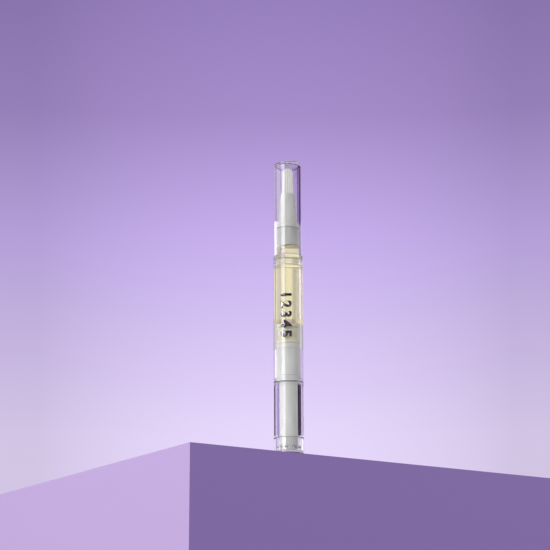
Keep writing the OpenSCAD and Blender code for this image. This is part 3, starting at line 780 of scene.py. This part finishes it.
# Retaining ring: a milky moulded ring whose bead snaps into the groove at the barrel's foot. It is the
# bearing that the knob turns in.
RING_R = 5.32
RING_BORE_R = 3.93
RING_BEAD_R = 5.47
ring_foot, ring_top = heights("retaining_ring")
ring = turned("bearing_ring", rounded([
    (RING_BORE_R, ring_foot, 0.1), (RING_R, ring_foot, 0.1),
    *bead(RING_R, RING_BEAD_R, ring_bead, ring_bead + RING_BEAD_WIDE),
    (RING_R, ring_top, 0.1), (RING_BORE_R, ring_top, 0.1)], 4, 0.01))
fitted(ring, natural, "barrel", "natural_plastic", "retaining_ring")


# Knob core: a white tube, closed at its foot and moulded in the same plastic as the holder. The nut's stem
# sits in its top.
CORE_R = 3.85
CORE_BORE_R = 2.85
CORE_FLOOR = 1
core_foot, core_top = heights("knob_core")
core_floor = core_foot + CORE_FLOOR
core = turned("core_tube", rounded([
    (0, core_foot, 0), (CORE_R, core_foot, 0.3), (CORE_R, core_top, 0.15), (CORE_BORE_R, core_top, 0.15),
    (CORE_BORE_R, core_floor, 0.3), (0, core_floor, 0)]))
fitted(core, satin_white, "knob", "white_plastic", "knob_core")


# Knob shell: a thick clear moulded tube round the core, with a narrow land at its top. The notches in its
# foot take the tail cap's teeth.
SHELL_BORE_R = 4.05
LAND_R = 3.88
LAND_LONG = 1
PLUG_IN_R = 5.22
NOTCH_R = 5.02
TEETH = 16
TOOTH_HALF = 180 / TEETH / 2
NOTCH_MORE = 0.7
TOOTH_TALL = 2
TAIL_FLOOR = 1.4
PLAY = 0.05
FOOT_EDGE = 0.1
shell_foot, shell_top = heights("knob_shell")
tail_foot, tail_top = heights("tail_cap")
seam = tail_top + PLAY
tooth_top = TAIL_FLOOR + TOOTH_TALL
notch_top = tooth_top + PLAY


def toothed(name, off_points, on_points, half):
    """Turned surface that follows one outline on the teeth and the other between them. A tooth reaches half
    its angle to both sides of its middle, and each flank has both outlines at one angle."""
    pitch = 360 / TEETH
    on_tooth = np.linspace(-half, half, 5)[1:]
    off_tooth = np.linspace(half, pitch - half, 5)
    one = np.concatenate([on_tooth, off_tooth, [pitch - half]])
    angles = pitch * np.arange(TEETH)[:, None] + one
    on = np.tile([True] * 4 + [False] * 5 + [True], TEETH)
    rows = np.where(on[:, None, None], np.array(on_points), np.array(off_points))
    return turned(name, rows, np.radians(angles.ravel()))


def shell_points(notch):
    """Outline of the shell, its foot raised to the notch's roof between the bore and a thin skin."""
    foot = [(PLUG_IN_R, shell_foot), (NOTCH_R, shell_foot), (NOTCH_R, notch), (SHELL_BORE_R, notch)]
    upper = rounded([
        (PLUG_IN_R, seam, 0), (BARREL_R, seam, 0.12), (BARREL_R, shell_top, 0.12), (LAND_R, shell_top, 0.1),
        (LAND_R, shell_top - LAND_LONG, 0.05), (SHELL_BORE_R, shell_top - LAND_LONG, 0.05),
        (SHELL_BORE_R, notch_top, 0)], 5, 0.02)[1:-1]
    meeting = [(SHELL_BORE_R, notch_top + PLAY)]
    outside = [(PLUG_IN_R, seam), (PLUG_IN_R, shell_foot + FOOT_EDGE)]
    return np.concatenate([foot, meeting, upper[::-1], outside])


shell = toothed("shell", shell_points(shell_foot), shell_points(notch_top), TOOTH_HALF + NOTCH_MORE)
fitted(shell, clear_body, "knob", "clear_plastic", "knob_shell", shadow=False)


# Tail cap: a clear moulded cup that pushes onto the shell's foot. A crown of sixteen teeth on its floor
# stands in the shell's notches.
TAIL_BORE_R = 5.25
TOOTH_R = 4.97


def tail_points(tooth):
    """Outline of the cup, with the ring of its floor that carries the teeth at the given height."""
    cup = rounded([
        (0, tail_foot, 0), (BARREL_R, tail_foot, 0.5), (BARREL_R, tail_top, 0.1),
        (TAIL_BORE_R, tail_top, 0.1), (TAIL_BORE_R, TAIL_FLOOR, 0.12), (TOOTH_R, TAIL_FLOOR, 0)], 5, 0.02)
    crown = [(TOOTH_R, tooth), (SHELL_BORE_R, tooth), (SHELL_BORE_R, TAIL_FLOOR), (0, TAIL_FLOOR)]
    return np.concatenate([cup, crown])


tail = toothed("tail_cup", tail_points(TAIL_FLOOR), tail_points(tooth_top), TOOTH_HALF)
fitted(tail, clear_body, "knob", "clear_plastic", "tail_cap", shadow=False)


# Print: five plain numbers that read down the barrel. They are hot-stamped on it in a thin black foil,
# which mirrors the studio.
PRINT_R = 6.503
PRINT_THICK = 0.012
STRIP = 0.2
FRONT = -math.pi / 2
NUMBER_TALL = 5
NUMBER_FOOT = -3.5
NUMBER_BOLD = 0.045
FIRST_MIDDLE = 69.4
NUMBER_STEP = 4.35


def spots(mesh):
    """Coordinates of a mesh's points, as rows of x, y and z."""
    places = np.empty(3 * len(mesh.vertices), "f")
    mesh.vertices.foreach_get("co", places)
    return places.reshape(-1, 3).astype(float).T


def number(text, left, middle):
    """Flat mesh of a plain number that reads down the barrel: once it has its height, a typed point (x, y)
    goes to (left + y, middle - x)."""
    curve = bpy.data.curves.new("number", "FONT")
    curve.body = text
    curve.size = 1
    curve.offset = NUMBER_BOLD
    typed = bpy.data.objects.new("number", curve)
    scene.collection.objects.link(typed)
    bpy.context.view_layer.update()
    flat = bpy.data.meshes.new_from_object(typed.evaluated_get(bpy.context.evaluated_depsgraph_get()))
    bpy.data.objects.remove(typed)
    x, y, z = spots(flat)
    scale = NUMBER_TALL / (y.max() - y.min())
    up = scale * (y - y.min())
    across = scale * (x - (x.min() + x.max()) / 2)
    flat.vertices.foreach_set("co", np.stack([left + up, middle - across, 0 * z], -1).ravel())
    return flat


def wrapped(name, flat, finish, slot):
    """Thin printed piece. A flat mesh in millimetres, x across and y up the barrel, is cut into narrow strips
    and given a thickness t. Then (x, y, t) goes to the radius R + t, the angle x / R from the front and the
    height y."""
    work = bmesh.new()
    work.from_mesh(flat)
    across = spots(flat)[0]
    for x in np.arange(across.min() + STRIP, across.max(), STRIP):
        everything = work.verts[:] + work.edges[:] + work.faces[:]
        bmesh.ops.bisect_plane(work, geom=everything, plane_co=(x, 0, 0), plane_no=(1, 0, 0))
    bmesh.ops.triangulate(work, faces=work.faces)
    bmesh.ops.remove_doubles(work, verts=work.verts, dist=1e-4)
    raised = bmesh.ops.extrude_face_region(work, geom=work.faces[:])["geom"]
    top = [part for part in raised if isinstance(part, bmesh.types.BMVert)]
    bmesh.ops.translate(work, vec=(0, 0, PRINT_THICK), verts=top)
    bmesh.ops.recalc_face_normals(work, faces=work.faces)
    mesh = bpy.data.meshes.new(name)
    work.to_mesh(mesh)
    work.free()
    x, y, t = spots(mesh)
    angle = FRONT + x / PRINT_R
    points = np.stack([(PRINT_R + t) * np.cos(angle), (PRINT_R + t) * np.sin(angle), y], -1) * MM
    mesh.vertices.foreach_set("co", points.ravel())
    mesh.update()
    piece = bpy.data.objects.new(name, mesh)
    scene.collection.objects.link(piece)
    fitted(piece, finish, "barrel", slot)


def foil(name, dark, light):
    """Stamped foil: a thin glossy film, a little uneven where the die pressed it down."""
    finish, tree, shader = new_finish(name)
    speck = noise(tree, stretched(tree, 1.0), 12000, 2.0)
    tree.links.new(fade(tree, speck, [(0.35, dark), (0.65, light)]), shader.inputs["Base Color"])
    tree.links.new(between(tree, speck, 0.04, 0.1), shader.inputs["Roughness"])
    shader.inputs["IOR"].default_value = 3.8
    return finish


black_foil = foil("black_foil", (0.006, 0.006, 0.007), (0.014, 0.013, 0.015))
for i, text in enumerate("12345"):
    flat = number(text, NUMBER_FOOT, FIRST_MIDDLE - NUMBER_STEP * i)
    wrapped("number_" + text, flat, black_foil, "black_print")
